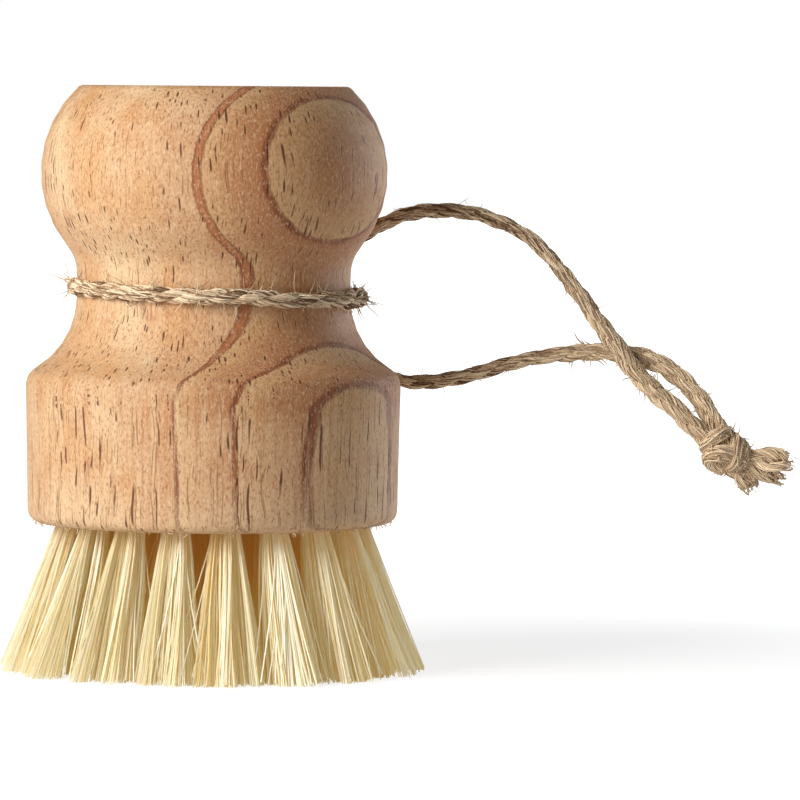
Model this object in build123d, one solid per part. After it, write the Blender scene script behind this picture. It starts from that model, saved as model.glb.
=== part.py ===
from build123d import *
import math
import os

# Palm brush: a turned wooden handle with a round knob, a waisted neck and a straight block, tufts of
# plant fibre held in drilled holes by flat wire anchors, and a twine loop tied round the neck.
# Lengths are in millimetres and angles in degrees. The origin is on the handle's axis in the plane
# of the bristle tips. +Z is up, the front is at -Y and the loop goes off towards +X.

# Handle, one piece of turned wood
bristle_length = 20.0
block_radius = 25.5
block_taper = 0.4
block_height = 20.0
shoulder_rise = 4.3
shoulder_sweep_radius = 11.3
shoulder_corner_radius = 2.8
foot_edge_radius = 1.6
neck_radius = 18.6
neck_rise = 23.1
neck_blend_radius = 6.0
knob_radius = 23.5
knob_arc_radius = 15.8
knob_drop = 11.8
rim_edge_radius = 0.7
corner_room_share = 0.98
turning_deviation = 0.08

# Drilled holes: one in the middle and rings of six more each, leaning out a step more each
ring_names = ["inner", "middle", "outer"]
holes_per_ring_step = 6
ring_pitch = 6.4
ring_lean_step = 5.0
pattern_turn = -83.0
hole_radius = 2.0
hole_depth = 9.0
hole_sides = 12

# Flat wire anchors, driven on edge across the holes, over the fold of each tuft
anchor_bite = 0.3
anchor_width = 2.0
anchor_thickness = 0.4
anchor_clearance = 0.05
fold_thickness = 1.6

# Tufts, each a packed root folded round its anchor and a fan of strands
root_clearance = 0.15
root_sides = 6
root_show = 0.8
strand_count = 10
strand_sides = 3
strand_embed = 0.5
strand_root_size = 0.34
strand_tip_size = 0.68
strand_root_spread = 1.3
strand_tip_spread = 3.4
golden_angle = 137.508

# Twine, one length that is tied round the neck and knotted at its far end
twine_diameter = 2.0
twine_sides = 6
twine_gap = 0.3
turn_rise = 6.9
turn_tilt = 2.0
turn_end_run = 2.0
route_radius_share = 0.45

# Half knot behind the neck, and the overhand knot with its two frayed tails
knot_sides = 8
knot_shoulder_share = 0.4
neck_knot_azimuth = 50.0
neck_knot_length = 6.0
neck_knot_radius = 2.2
neck_knot_end_radius = 1.5
end_knot_length = 7.2
end_knot_radius = 3.2
end_knot_end_radius = 1.9
end_knot_slope = 40.0
tail_tip_radius = 1.8
tail_right_length = 8.6
tail_right_slope = 15.0
tail_down_length = 6.4
tail_down_slope = 70.0
tail_start = 2.0

# Routes of the loop's two strands, from the middle of the half knot
upper_route = [
    (1.3, -0.3, 1.3),
    (4.0, -0.8, 3.9),
    (7.6, -2.6, 8.3),
    (12.0, -4.2, 10.9),
    (17.8, -5.8, 11.8),
    (24.0, -7.6, 10.9),
    (30.2, -9.0, 7.8),
    (35.4, -10.2, 1.6),
    (40.2, -11.0, -5.2),
    (45.0, -11.6, -11.6),
    (50.0, -12.0, -15.6),
    (53.2, -12.2, -18.8),
    (54.9, -12.4, -20.3),
]
lower_route = [
    (1.2, 0.3, -1.3),
    (3.4, 0.6, -3.9),
    (6.6, 0.2, -7.9),
    (10.6, -1.2, -11.7),
    (15.8, -2.6, -12.4),
    (22.0, -4.0, -11.1),
    (28.6, -5.4, -8.9),
    (35.2, -6.6, -7.8),
    (41.8, -8.0, -7.5),
    (48.0, -9.2, -9.1),
    (52.4, -10.2, -13.1),
    (54.6, -10.9, -16.5),
    (55.8, -11.3, -18.7),
]
end_knot_offset = (57.0, -12.0, -21.2)

overrun = 1.0


def shoulder_height():
    """Height of the shoulder's upper end, where the neck begins."""
    return bristle_length + block_height + shoulder_rise


def handle_outline():
    """Half of the handle's section as a face, from the axis outwards, with its corners rounded."""
    underside = bristle_length
    foot_radius = block_radius - block_taper
    corner_height = underside + block_height
    ball_height = shoulder_height() + neck_rise
    top = ball_height + knob_drop
    arc_centre = knob_radius - knob_arc_radius
    waist_height = ball_height - math.sqrt(knob_arc_radius**2 - (neck_radius - arc_centre) ** 2)
    rim_radius = arc_centre + math.sqrt(knob_arc_radius**2 - knob_drop**2)

    sides = Polyline(
        (0, underside),
        (foot_radius, underside),
        (block_radius, corner_height),
        (neck_radius, shoulder_height()),
        (neck_radius, waist_height),
    )
    knob = ThreePointArc((neck_radius, waist_height), (knob_radius, ball_height), (rim_radius, top))
    crown = Polyline((rim_radius, top), (0, top), (0, underside))
    section = make_face(sides + knob + crown)

    corners = [
        ((foot_radius, underside), foot_edge_radius),
        ((block_radius, corner_height), shoulder_corner_radius),
        ((neck_radius, shoulder_height()), fitting_sweep_radius(ball_height, arc_centre)),
        ((neck_radius, waist_height), neck_blend_radius),
        ((rim_radius, top), rim_edge_radius),
    ]
    for place, radius in corners:
        vertex = section.vertices().sort_by_distance((*place, 0))[0]
        section = fillet(vertex, radius)
    return section


def fitting_sweep_radius(ball_height, arc_centre):
    """The shoulder's sweep into the neck, limited by the room on the slope and on the neck."""
    slope = Vector(block_radius - neck_radius, shoulder_rise)
    half_turn = math.atan2(slope.X, slope.Y) / 2
    slope_room = slope.length - shoulder_corner_radius * math.tan(half_turn)
    blend_reach = knob_arc_radius + neck_blend_radius
    blend_drop = math.sqrt(blend_reach**2 - (neck_radius + neck_blend_radius - arc_centre) ** 2)
    neck_room = ball_height - blend_drop - shoulder_height()
    room = corner_room_share * min(slope_room, neck_room)
    return min(shoulder_sweep_radius, room / math.tan(half_turn))


def cut_count(edge):
    """How many straight cuts follow an edge of the outline within the turning deviation."""
    if edge.geom_type == GeomType.LINE:
        return 1
    turn = math.radians((edge % 0).get_angle(edge % 1))
    return math.ceil(turn / (2 * math.acos(1 - turning_deviation / edge.radius)))


def turned(section):
    """A section turned about the handle's axis, its arcs in short straight cuts of few facets."""
    points = []
    for edge in section.wire().order_edges():
        count = cut_count(edge)
        points += [edge @ (cut / count) for cut in range(count)]
    return revolve(Plane.XZ * make_face(Polyline(*points, close=True)), Axis.Z)


def hole_frame(ring):
    """Frame at a hole's mouth in the +X direction, with its Z axis up into the wood."""
    return Pos(ring * ring_pitch, 0, bristle_length) * Rot(0, -ring * ring_lean_step, 0)


def ring_turns(ring):
    """The turns about the handle's axis that place the holes of one ring."""
    count = max(ring * holes_per_ring_step, 1)
    return [Rot(0, 0, pattern_turn + copy * 360 / count) for copy in range(count)]


def ring_range():
    """The rings, from the single hole in the middle outwards."""
    return range(len(ring_names) + 1)


def anchor_blank(clearance):
    """A flat wire anchor on edge across its hole, larger by a clearance on every side."""
    blank = Box(
        anchor_thickness + 2 * clearance,
        2 * (hole_radius + anchor_bite + clearance),
        anchor_width + 2 * clearance,
    )
    return Pos(0, 0, hole_depth - fold_thickness - anchor_width / 2) * blank


def hole_cutter():
    """A drilled hole, with few faces as it repeats, and the slot that its anchor bites into the wall."""
    drill = extrude(RegularPolygon(hole_radius, hole_sides), hole_depth + overrun)
    return Pos(0, 0, -overrun) * drill + anchor_blank(anchor_clearance)


def make_handle():
    """The turned handle with its blind holes."""
    cutter = hole_cutter()
    cutters = [turn * hole_frame(ring) * cutter for ring in ring_range() for turn in ring_turns(ring)]
    return turned(handle_outline()) - cutters


def make_anchors():
    """All the anchors, each a solid of its own."""
    anchor = anchor_blank(0).solid()
    places = [turn * hole_frame(ring) for ring in ring_range() for turn in ring_turns(ring)]
    return Compound(children=[place * anchor for place in places])


def tuft_root(ring):
    """The packed root in its hole, slotted over the anchor and level just below the block."""
    spare = root_show + hole_radius
    height = hole_depth - root_clearance + spare
    plug = extrude(RegularPolygon(hole_radius - root_clearance, root_sides), height)
    plug = Pos(0, 0, -spare) * plug
    placed = hole_frame(ring) * (plug - anchor_blank(anchor_clearance))
    below = Box(
        2 * (ring_pitch + hole_radius),
        2 * (ring_pitch + hole_radius),
        bristle_length - root_show,
        align=(Align.CENTER, Align.CENTER, Align.MIN),
    )
    return placed - Pos(ring * ring_pitch, 0, 0) * below


def polygon_corners(place, radius, sides):
    """Corners of a regular polygon in a plane, the first on its X axis."""
    angles = [side * 2 * math.pi / sides for side in range(sides)]
    return [
        place.from_local_coords((radius * math.cos(angle), radius * math.sin(angle), 0))
        for angle in angles
    ]


def flat_sided(sections):
    """A solid with flat sides between alike polygons in parallel planes."""
    faces = [Face(Wire.make_polygon(sections[0])), Face(Wire.make_polygon(sections[-1]))]
    for lower, upper in zip(sections, sections[1:]):
        for side in range(len(lower)):
            ends = [lower[side - 1], lower[side], upper[side], upper[side - 1]]
            faces.append(Face(Wire.make_polygon(ends)))
    return Solid(Shell(faces))


def make_strand(ring, index):
    """One strand of a tuft, a flat-sided blade from the root that ends in the plane of the tips."""
    share = math.sqrt((index + 1 / 2) / strand_count)
    angle = index * golden_angle
    outwards = Vector(share, 0, 0).rotate(Axis.Z, angle)
    lean = math.tan(math.radians(ring * ring_lean_step))
    start_height = bristle_length - root_show + strand_embed
    stations = [
        (start_height, strand_root_spread, strand_root_size),
        (0, strand_tip_spread, strand_tip_size),
    ]
    sections = []
    for height, spread, size in stations:
        middle = Vector(ring * ring_pitch + (bristle_length - height) * lean, 0, height)
        place = Plane(origin=middle + outwards * spread, x_dir=outwards, z_dir=(0, 0, 1))
        sections.append(polygon_corners(place, size, strand_sides))
    return flat_sided(sections)


def make_tuft(ring):
    """A tuft of one ring in the +X direction, its strands fused to the packed root."""
    return tuft_root(ring) + [make_strand(ring, index) for index in range(strand_count)]


def turn_height():
    """Height of the turn of twine on the handle's axis, in the neck's groove."""
    return shoulder_height() + turn_rise


def neck_knot_middle():
    """Middle of the half knot, clear of the neck by the twine's gap."""
    reach = neck_radius + twine_gap + neck_knot_radius
    x = reach * math.cos(math.radians(neck_knot_azimuth))
    y = reach * math.sin(math.radians(neck_knot_azimuth))
    return Vector(x, y, turn_height() - x * math.tan(math.radians(turn_tilt)))


def twine_tube(path):
    """A length of twine along a path, as a faceted tube."""
    start = Plane(origin=path @ 0, z_dir=path % 0)
    return sweep(start * RegularPolygon(twine_diameter / 2, twine_sides), path=path)


def report_tube(name, path, tube):
    """Prints a tube's length, and its volume against its section times its length."""
    section = tube.faces().sort_by_distance(path @ 0)[0]
    ratio = tube.volume / (section.area * path.length)
    print(name, "length", round(path.length, 1), "volume share", round(ratio, 4))


def route_radii(points):
    """The radius at each inner point of a route, as large as its two runs allow."""
    radii = []
    for before, point, after in zip(points, points[1:], points[2:]):
        arriving = point - before
        leaving = after - point
        half_turn = math.radians(arriving.get_angle(leaving)) / 2
        shorter = min(arriving.length, leaving.length)
        radii.append(route_radius_share * shorter / math.tan(half_turn))
    return radii


def make_loop_strand(name, route):
    """One strand of the loop, as straight runs joined by tangent arcs."""
    points = [neck_knot_middle() + Vector(*point) for point in route]
    radii = route_radii(points)
    path = FilletPolyline(*points, radius=radii)
    tube = twine_tube(path)
    report_tube(name, path, tube)
    print(name, "radii", [round(radius, 1) for radius in radii])
    return tube


def make_neck_turn():
    """The turn of twine in the neck's groove, open where the half knot joins its ends."""
    radius = neck_radius + twine_gap + twine_diameter / 2
    opening = math.degrees(math.atan((neck_knot_length / 2 + turn_end_run / 2) / radius))
    quarter = (360 - 2 * opening) / 4
    first = neck_knot_azimuth + opening
    arcs = [CenterArc((0, 0), radius, first + step * quarter, quarter) for step in range(4)]
    start = arcs[0] @ 0
    end = arcs[-1] @ 1
    run_in = Line(start - (arcs[0] % 0) * turn_end_run, start)
    run_out = Line(end, end + (arcs[-1] % 1) * turn_end_run)
    plane = Plane.XY.offset(turn_height()).rotated((0, turn_tilt, 0))
    path = plane * Wire([run_in, *arcs, run_out])
    tube = twine_tube(path)
    report_tube("neck_turn", path, tube)
    gap = (path @ 1 - path @ 0).length
    print("neck_turn least gap to itself", round(gap, 2))
    return tube


def make_knot(place, length, radius, end_radius):
    """A knot of packed twine, fullest in the middle, along the Z axis of its plane."""
    half = length / 2
    shoulder = knot_shoulder_share * half
    stations = [(-half, end_radius), (-shoulder, radius), (shoulder, radius), (half, end_radius)]
    return flat_sided(
        [polygon_corners(place.offset(along), size, knot_sides) for along, size in stations]
    )


def make_tail(slope, length):
    """A frayed tail beyond the knot, widening to its tip."""
    direction = Vector(1, 0, 0).rotate(Axis.Y, slope)
    root = Plane(origin=end_knot_middle() + direction * tail_start, z_dir=direction)
    tip = root.offset(length - tail_start)
    return flat_sided(
        [
            polygon_corners(root, twine_diameter / 2, twine_sides),
            polygon_corners(tip, tail_tip_radius, twine_sides),
        ]
    )


def end_knot_middle():
    """Middle of the overhand knot at the loop's far end."""
    return neck_knot_middle() + Vector(*end_knot_offset)


def make_twine():
    """Every piece of the twine, with a seat in each knot for the ends that enter it."""
    upper = make_loop_strand("loop_upper", upper_route)
    lower = make_loop_strand("loop_lower", lower_route)
    turn = make_neck_turn()
    tail_right = make_tail(tail_right_slope, tail_right_length)
    tail_down = make_tail(tail_down_slope, tail_down_length)

    along_neck = Vector(1, 0, 0).rotate(Axis.Z, neck_knot_azimuth - 90)
    neck_place = Plane(origin=neck_knot_middle(), z_dir=along_neck)
    neck_knot = make_knot(neck_place, neck_knot_length, neck_knot_radius, neck_knot_end_radius)
    along_loop = Vector(1, 0, 0).rotate(Axis.Y, end_knot_slope)
    end_place = Plane(origin=end_knot_middle(), z_dir=along_loop)
    end_knot = make_knot(end_place, end_knot_length, end_knot_radius, end_knot_end_radius)
    return {
        "neck_turn": turn,
        "neck_knot": neck_knot - [turn, upper, lower],
        "loop_upper": upper,
        "loop_lower": lower,
        "end_knot": end_knot - [upper, lower, tail_right, tail_down],
        "tail_right": tail_right,
        "tail_down": tail_down,
    }


def make_tufts():
    """Every tuft by name, copied round its ring."""
    tufts = {}
    for ring in ring_range():
        tuft = make_tuft(ring)
        turns = ring_turns(ring)
        for number, turn in enumerate(turns, start=1):
            name = f"tuft_{ring_names[ring - 1]}_{number}" if ring else "tuft_center"
            tufts[name] = turn * tuft
    return tufts


parts = {"handle": make_handle(), "tuft_anchors": make_anchors(), **make_tufts(), **make_twine()}

os.makedirs("parts", exist_ok=True)
for name, shape in parts.items():
    export_step(shape, f"parts/{name}.step")
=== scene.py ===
"""The looks of the palm brush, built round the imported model. Lengths are in metres."""

import math
import random

import bpy
from mathutils import Matrix, Vector, geometry, noise


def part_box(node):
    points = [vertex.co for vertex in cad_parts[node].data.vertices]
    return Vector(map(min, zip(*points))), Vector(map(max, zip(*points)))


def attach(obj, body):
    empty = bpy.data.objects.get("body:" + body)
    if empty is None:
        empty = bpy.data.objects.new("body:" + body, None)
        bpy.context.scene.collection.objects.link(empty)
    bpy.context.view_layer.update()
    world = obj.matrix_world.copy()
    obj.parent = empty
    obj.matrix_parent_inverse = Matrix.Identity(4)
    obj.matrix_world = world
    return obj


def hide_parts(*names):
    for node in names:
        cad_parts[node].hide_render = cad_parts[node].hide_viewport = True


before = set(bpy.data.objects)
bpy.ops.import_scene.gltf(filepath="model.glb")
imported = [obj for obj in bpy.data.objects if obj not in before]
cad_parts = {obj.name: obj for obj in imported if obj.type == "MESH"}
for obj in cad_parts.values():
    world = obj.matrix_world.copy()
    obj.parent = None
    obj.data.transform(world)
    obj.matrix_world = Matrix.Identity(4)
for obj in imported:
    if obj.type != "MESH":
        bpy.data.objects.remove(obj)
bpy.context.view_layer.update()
mm = 0.001
full_turn = 2 * math.pi

# Camera, as the photograph was taken: level with the top of the knob, from far off
camera_place = Vector((25.3, -820.0, 79.2)) * mm
camera_aim = Vector((25.4, 0.0, 36.7)) * mm
camera_roll = math.radians(0.41)
view_width = 108.8 * mm
sensor_width = 36.0

# Lamps, the surround, and a floor that is white to the camera away from the object
lamp_aim = Vector((0, 0, 0.04))
world_light = 0.135
floor_half = 3.0
floor_glow = 1.35
white = (1.0, 1.0, 1.0, 1.0)

# Handle: its turned outline is read from its CAD node, and its holes follow the drilled pattern
turned_sides = 256
turned_step = 0.6 * mm
bore_reach = 31.0 * mm
bore_field_radius = 22.5 * mm
least_outline_radius = 10.0 * mm
top_ring_shares = [0.97, 0.66, 0.33]
ring_names = ["inner", "middle", "outer"]
holes_per_ring_step = 6
ring_pitch = 6.4 * mm
ring_lean_step = math.radians(5.0)
pattern_turn = math.radians(-83.0)
hole_radius = 2.0 * mm
hole_depth = 9.0 * mm
hole_sides = 24
block_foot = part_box("handle")[0].z

# Wood, in millimetres: growth rings round a pith behind the handle's left, cut open by its turned form
ring_azimuth = math.radians(-38.0)
pith_distance = 50.0
ring_first = 15.9
ring_spacing = 4.35
thin_line = 0.10
bold_line = 0.34
pore_round = 22.0
pore_slope = 0.45

# Heights in millimetres where the grain changes, from one form of the handle to the next
knob_middle = 68.0
knob_foot = (52.0, 57.0)
shoulder_middle = 40.2
shoulder_top = (40.0, 46.0)
block_top = (40.0, 36.0)
crumb_band = 41.0
crown_face = (78.7, 79.1)
foot_face = (20.3, 20.0)

# Raised wood fibres along the block's lower edge, with their scatter and radii in millimetres
crumb_count = 320
crumb_radius = 24.3 * mm
crumb_scatter = (-1.0, 0.25)
crumb_length = 0.9 * mm
crumb_steps = 4
crumb_radii = (0.04, 0.10)
crumb_sides = 4

# Fibres of a tuft, in clumps that lean together, and a few that stray
clump_count = 18
clump_fibres = 16
clump_reach = 0.55 * mm
fibre_radius = 0.105 * mm
fibre_sides = 3
fibre_steps = 6
fibre_taper = 0.85
fibre_root_depth = 3.0 * mm
fibre_root_spread = 1.85 * mm
fibre_root_scatter = 0.13
fibre_tip_spread = 4.2 * mm
fibre_tip_scatter = 0.38 * mm
fibre_ragged = 0.45 * mm
fibre_wave = 0.15 * mm
fibre_turn = 0.25
fibre_face = math.radians(-40.0)
fibre_bow = 0.15 * mm
stray_share = 0.028
stray_reach = 4.5 * mm
stray_ragged = 6.0

# Twine: three plies of jute laid round each other, each a core wrapped in loose strands
twine_diameter = 2.0 * mm
twine_step = 0.25 * mm
ply_count = 3
ply_offset = 0.46 * mm
ply_radius = 0.60 * mm
ply_turn = -full_turn / (11.4 * mm)
core_share = 0.82
core_sides = 8
# The core's lay sets it deep in the twine, where the twine's material paints shade on it
core_lay = (0.42, 0.0, 0.42, 0.64)
strand_gap = 0.165 * mm
strand_radius = 0.105 * mm
strand_sides = 4
strand_wrap = 0.7 / mm
strand_stride = 2
strand_depths = (0.80, 1.04)
hair_radii = (0.035, 0.06)
hair_sides = 3
hair_steps = 6

# Lengths over which the twine's size and its strands' ways change
twine_wander = 5 * mm
strand_wander = 4 * mm
strand_heave = 2 * mm
knot_wander = 2.5 * mm

# Where the twine runs: the turn in the neck, and the half knot behind it
neck_radius = 18.6 * mm
neck_turn_gap = 0.66 * mm
neck_turn_slip = 0.42 * mm
neck_turn_uneven = 0.08 * mm
neck_turn_lift = 0.35 * mm
neck_frayed_share = 0.86
turn_height = 51.2 * mm
turn_tilt = math.radians(2.0)
neck_knot_azimuth = math.radians(50.0)
neck_knot_reach = 21.1 * mm
neck_knot_length = 6.0 * mm
neck_knot_x = neck_knot_reach * math.cos(neck_knot_azimuth)
neck_knot_y = neck_knot_reach * math.sin(neck_knot_azimuth)
neck_knot_middle = Vector((neck_knot_x, neck_knot_y, turn_height - neck_knot_x * math.tan(turn_tilt)))

# Routes of the loop's two strands in millimetres, from the middle of the half knot
upper_route = [
    (1.0, -0.3, 1.6), (3.2, -0.9, 5.6), (7.4, -2.6, 8.7), (12.0, -4.2, 11.0), (17.8, -5.8, 11.8),
    (24.0, -7.6, 10.9), (30.2, -9.0, 7.8), (35.4, -10.2, 1.6), (40.2, -11.0, -5.2),
    (45.0, -11.6, -11.6), (50.0, -12.0, -15.6), (53.2, -12.2, -18.8), (54.9, -12.4, -20.3),
]
lower_route = [
    (1.2, 0.3, -1.3), (3.0, 0.6, -4.1), (5.8, 0.2, -8.4), (10.2, -1.2, -12.0), (15.8, -2.6, -12.4),
    (22.0, -4.0, -11.1), (28.6, -5.4, -8.9), (35.2, -6.6, -7.8), (41.8, -8.0, -7.5),
    (48.0, -9.2, -9.1), (52.4, -10.2, -13.1), (54.6, -10.9, -16.5), (55.8, -11.3, -18.7),
]
end_knot_offset = Vector((57.0, -12.0, -21.2)) * mm
end_knot_middle = neck_knot_middle + end_knot_offset
end_knot_slope = math.radians(40.0)
tail_lock_radius = 0.52 * mm
tail_lock_start = 1.2 * mm
tail_lock_swing = 0.48 * mm

# The overhand knot's turns in millimetres: along the loop, to the front and over, each with its radius
knot_radii = [0.95, 1.20, 0.90, 0.85, 1.05, 1.05, 1.60]
knot_turns = [
    [
        (-1.9, -1.5, 1.9), (-2.4, 0.8, 2.1), (-3.0, 1.9, 0.8),
        (-3.4, 1.6, -0.8), (-3.1, 0.0, -1.8), (-2.4, -1.5, -1.3),
    ],
    [
        (1.4, 0.8, 0.4), (-0.2, 1.9, 0.1), (-1.6, 1.9, -1.0),
        (-1.9, 0.9, -2.2), (-0.6, 0.4, -2.5), (1.0, 0.2, -2.2),
    ],
    [
        (-1.4, -1.4, 1.5), (-0.9, 0.5, 2.2), (0.1, 1.7, 1.3),
        (1.2, 1.9, 0.1), (1.5, 1.1, -1.2), (0.8, -0.2, -2.0),
    ],
    [
        (0.2, -1.5, 1.9), (0.7, 0.2, 2.1), (1.6, 1.2, 1.2),
        (2.1, 1.2, 0.0), (1.8, 0.2, -1.2), (0.8, -1.2, -1.6),
    ],
    [(-2.2, -0.9, 1.8), (-0.8, -1.7, 0.5), (0.8, -1.7, -0.8), (1.9, -0.8, -1.3), (1.6, 0.6, -1.0)],
    [(-2.5, -0.8, -1.2), (-0.9, -1.6, -0.9), (0.8, -1.6, 0.6), (1.8, -0.6, 1.4), (1.4, 0.6, 1.2)],
    [(-3.0, 0.0, 0.1), (-1.0, 0.2, -0.2), (0.8, 0.2, -0.2), (2.6, 0.0, 0.1)],
]

scene = bpy.context.scene


class Skin:
    """One piece while it is being made: its points, its faces and its lay.

    The lay is four numbers a point for its material: the tone of its clump or strand, how near its
    thread's root it is, the thread's own tone, and how far out in the tufts or the twine it lies.
    """

    def __init__(self):
        self.points = []
        self.faces = []
        self.lays = []

    def add_band(self, low, high):
        """Adds faces between two closed rings of as many points, given by their numbers."""
        sides = len(low)
        for side in range(sides):
            following = (side + 1) % sides
            self.faces.append((low[side], low[following], high[following], high[side]))

    def add_ring(self, ring):
        """Adds a ring of points and returns their numbers."""
        first = len(self.points)
        self.points.extend(ring)
        return list(range(first, len(self.points)))

    def add_tube(self, rings, lays):
        """Adds a closed tube through alike rings of points."""
        numbers = []
        for ring, ring_lays in zip(rings, lays):
            numbers.append(self.add_ring(ring))
            self.lays.extend(ring_lays)
        for low, high in zip(numbers, numbers[1:]):
            self.add_band(low, high)
        self.faces.append(tuple(reversed(numbers[0])))
        self.faces.append(tuple(numbers[-1]))

    def make_piece(self, name, body, material, slot, *nodes, smooth=True):
        """Turns the skin into a named piece that rides on a body and stands for CAD nodes."""
        mesh = bpy.data.meshes.new(name)
        mesh.from_pydata(self.points, [], self.faces)
        mesh.polygons.foreach_set("use_smooth", [smooth] * len(mesh.polygons))
        if self.lays:
            lay = mesh.attributes.new("lay", "FLOAT_COLOR", "POINT")
            lay.data.foreach_set("color", [value for four in self.lays for value in four])
        mesh.materials.append(material)
        piece = bpy.data.objects.new(name, mesh)
        scene.collection.objects.link(piece)
        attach(piece, body)
        if nodes:
            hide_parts(*nodes)
        return piece


class Shade:
    """The nodes of a material or of the world, built a node at a call."""

    def __init__(self, owner, surface="Principled BSDF"):
        owner.use_nodes = True
        self.owner = owner
        self.tree = owner.node_tree
        self.surface = self.tree.nodes[surface]

    def link(self, socket, value):
        """Feeds an input from another node's output, or sets it."""
        if isinstance(value, bpy.types.NodeSocket):
            self.tree.links.new(value, socket)
        else:
            socket.default_value = value

    def add(self, kind, inputs, output=0, **settings):
        """A new node with its settings and inputs, as the output that is used."""
        node = self.tree.nodes.new(kind)
        for name, value in settings.items():
            setattr(node, name, value)
        for name, value in inputs.items():
            self.link(node.inputs[name], value)
        return node.outputs[output]

    def compute(self, operation, *values):
        """One step of arithmetic."""
        return self.add("ShaderNodeMath", dict(enumerate(values)), operation=operation)

    def combined(self, operation, first, *others):
        """Values taken together by one operation, from first to last."""
        for other in others:
            first = self.compute(operation, first, other)
        return first

    def times(self, *values):
        """A product of values."""
        return self.combined("MULTIPLY", *values)

    def plus(self, *values):
        """A sum of values."""
        return self.combined("ADD", *values)

    def largest(self, *values):
        """The largest of some values."""
        return self.combined("MAXIMUM", *values)

    def minus(self, first, second):
        """A difference of two values."""
        return self.compute("SUBTRACT", first, second)

    def away(self, value, centre):
        """How far a value is from a centre."""
        return self.compute("ABSOLUTE", self.minus(value, centre))

    def place(self):
        """The surface point in millimetres, in the object's own axes."""
        return self.stretch(self.add("ShaderNodeTexCoord", {}, "Object"), (1 / mm, 1 / mm, 1 / mm))

    def lay(self):
        """The four numbers of the skin's lay."""
        colour = self.add("ShaderNodeAttribute", {}, "Color", attribute_name="lay")
        return (*self.split(colour), colour.node.outputs["Alpha"])

    def split(self, vector):
        """A vector's three numbers."""
        return self.add("ShaderNodeSeparateXYZ", {0: vector}).node.outputs

    def stretch(self, vector, scale):
        """A vector scaled along its axes."""
        return self.add("ShaderNodeVectorMath", {0: vector, 1: scale}, operation="MULTIPLY")

    def move(self, vector, offset):
        """A vector moved by another."""
        return self.add("ShaderNodeVectorMath", {0: vector, 1: offset}, operation="ADD")

    def noise(self, place, sizes, detail=2.0, roughness=0.5, output=0):
        """Smooth noise from 0 to 1, in features of given sizes along the axes."""
        features = self.stretch(place, tuple(1 / size for size in sizes))
        inputs = {"Vector": features, "Scale": 1.0, "Detail": detail, "Roughness": roughness}
        return self.add("ShaderNodeTexNoise", inputs, output)

    def fade(self, value, low, high, to_low=0.0, to_high=1.0):
        """A value faded smoothly from one span to another."""
        inputs = {"Value": value, "From Min": low, "From Max": high, "To Min": to_low, "To Max": to_high}
        return self.add("ShaderNodeMapRange", inputs, interpolation_type="SMOOTHSTEP")

    def mix(self, share, first, second, blend="MIX"):
        """Two colours mixed by a share."""
        inputs = {0: share, 6: first, 7: second}
        return self.add("ShaderNodeMix", inputs, 2, data_type="RGBA", blend_type=blend)

    def cover(self, colour, *layers):
        """A colour with others laid over it in turn, each by its share."""
        for share, layer in layers:
            colour = self.mix(share, colour, layer)
        return colour

    def ramp(self, value, stops):
        """A colour read from a list of stops, each a place and a colour as tint takes it."""
        node = self.add("ShaderNodeValToRGB", {0: value}).node
        elements = node.color_ramp.elements
        while len(elements) < len(stops):
            elements.new(1.0)
        for element, (place, *colour) in zip(elements, stops):
            element.position = place
            element.color = tint(*colour)
        return node.outputs[0]

    def bump(self, height, distance, strength):
        """A normal from a height."""
        inputs = {"Height": height, "Distance": distance, "Strength": strength}
        return self.add("ShaderNodeBump", inputs)

    def finish(self, **inputs):
        """Sets the surface's inputs, each from a node or as a constant on its own socket."""
        for name, value in inputs.items():
            self.link(self.surface.inputs[name.replace("_", " ")], value)
        return self.owner

    def join(self, share, other):
        """Mixes another shader into the surface by a share."""
        both = self.add("ShaderNodeMixShader", {0: share, 1: self.surface.outputs[0], 2: other})
        self.link(self.tree.nodes["Material Output"].inputs["Surface"], both)


def tint(red, green, blue):
    """A colour as it is seen, from 0 to 255, as the linear colour that a shader takes."""
    linear = []
    for value in (red, green, blue):
        share = value / 255
        linear.append(share / 12.92 if share <= 0.04045 else ((share + 0.055) / 1.055) ** 2.4)
    return (*linear, 1.0)


# Camera
camera = bpy.data.objects.new("camera", bpy.data.cameras.new("camera"))
scene.collection.objects.link(camera)
camera.location = camera_place
looking = (camera_aim - camera_place).to_track_quat("-Z", "Y").to_matrix().to_4x4()
camera.rotation_euler = (looking @ Matrix.Rotation(camera_roll, 4, "Z")).to_euler()
camera.data.sensor_width = sensor_width
camera.data.lens = sensor_width * (camera_aim - camera_place).length / view_width
camera.data.clip_end = 10.0
scene.camera = camera


# Materials
new_material = bpy.data.materials.new


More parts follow.
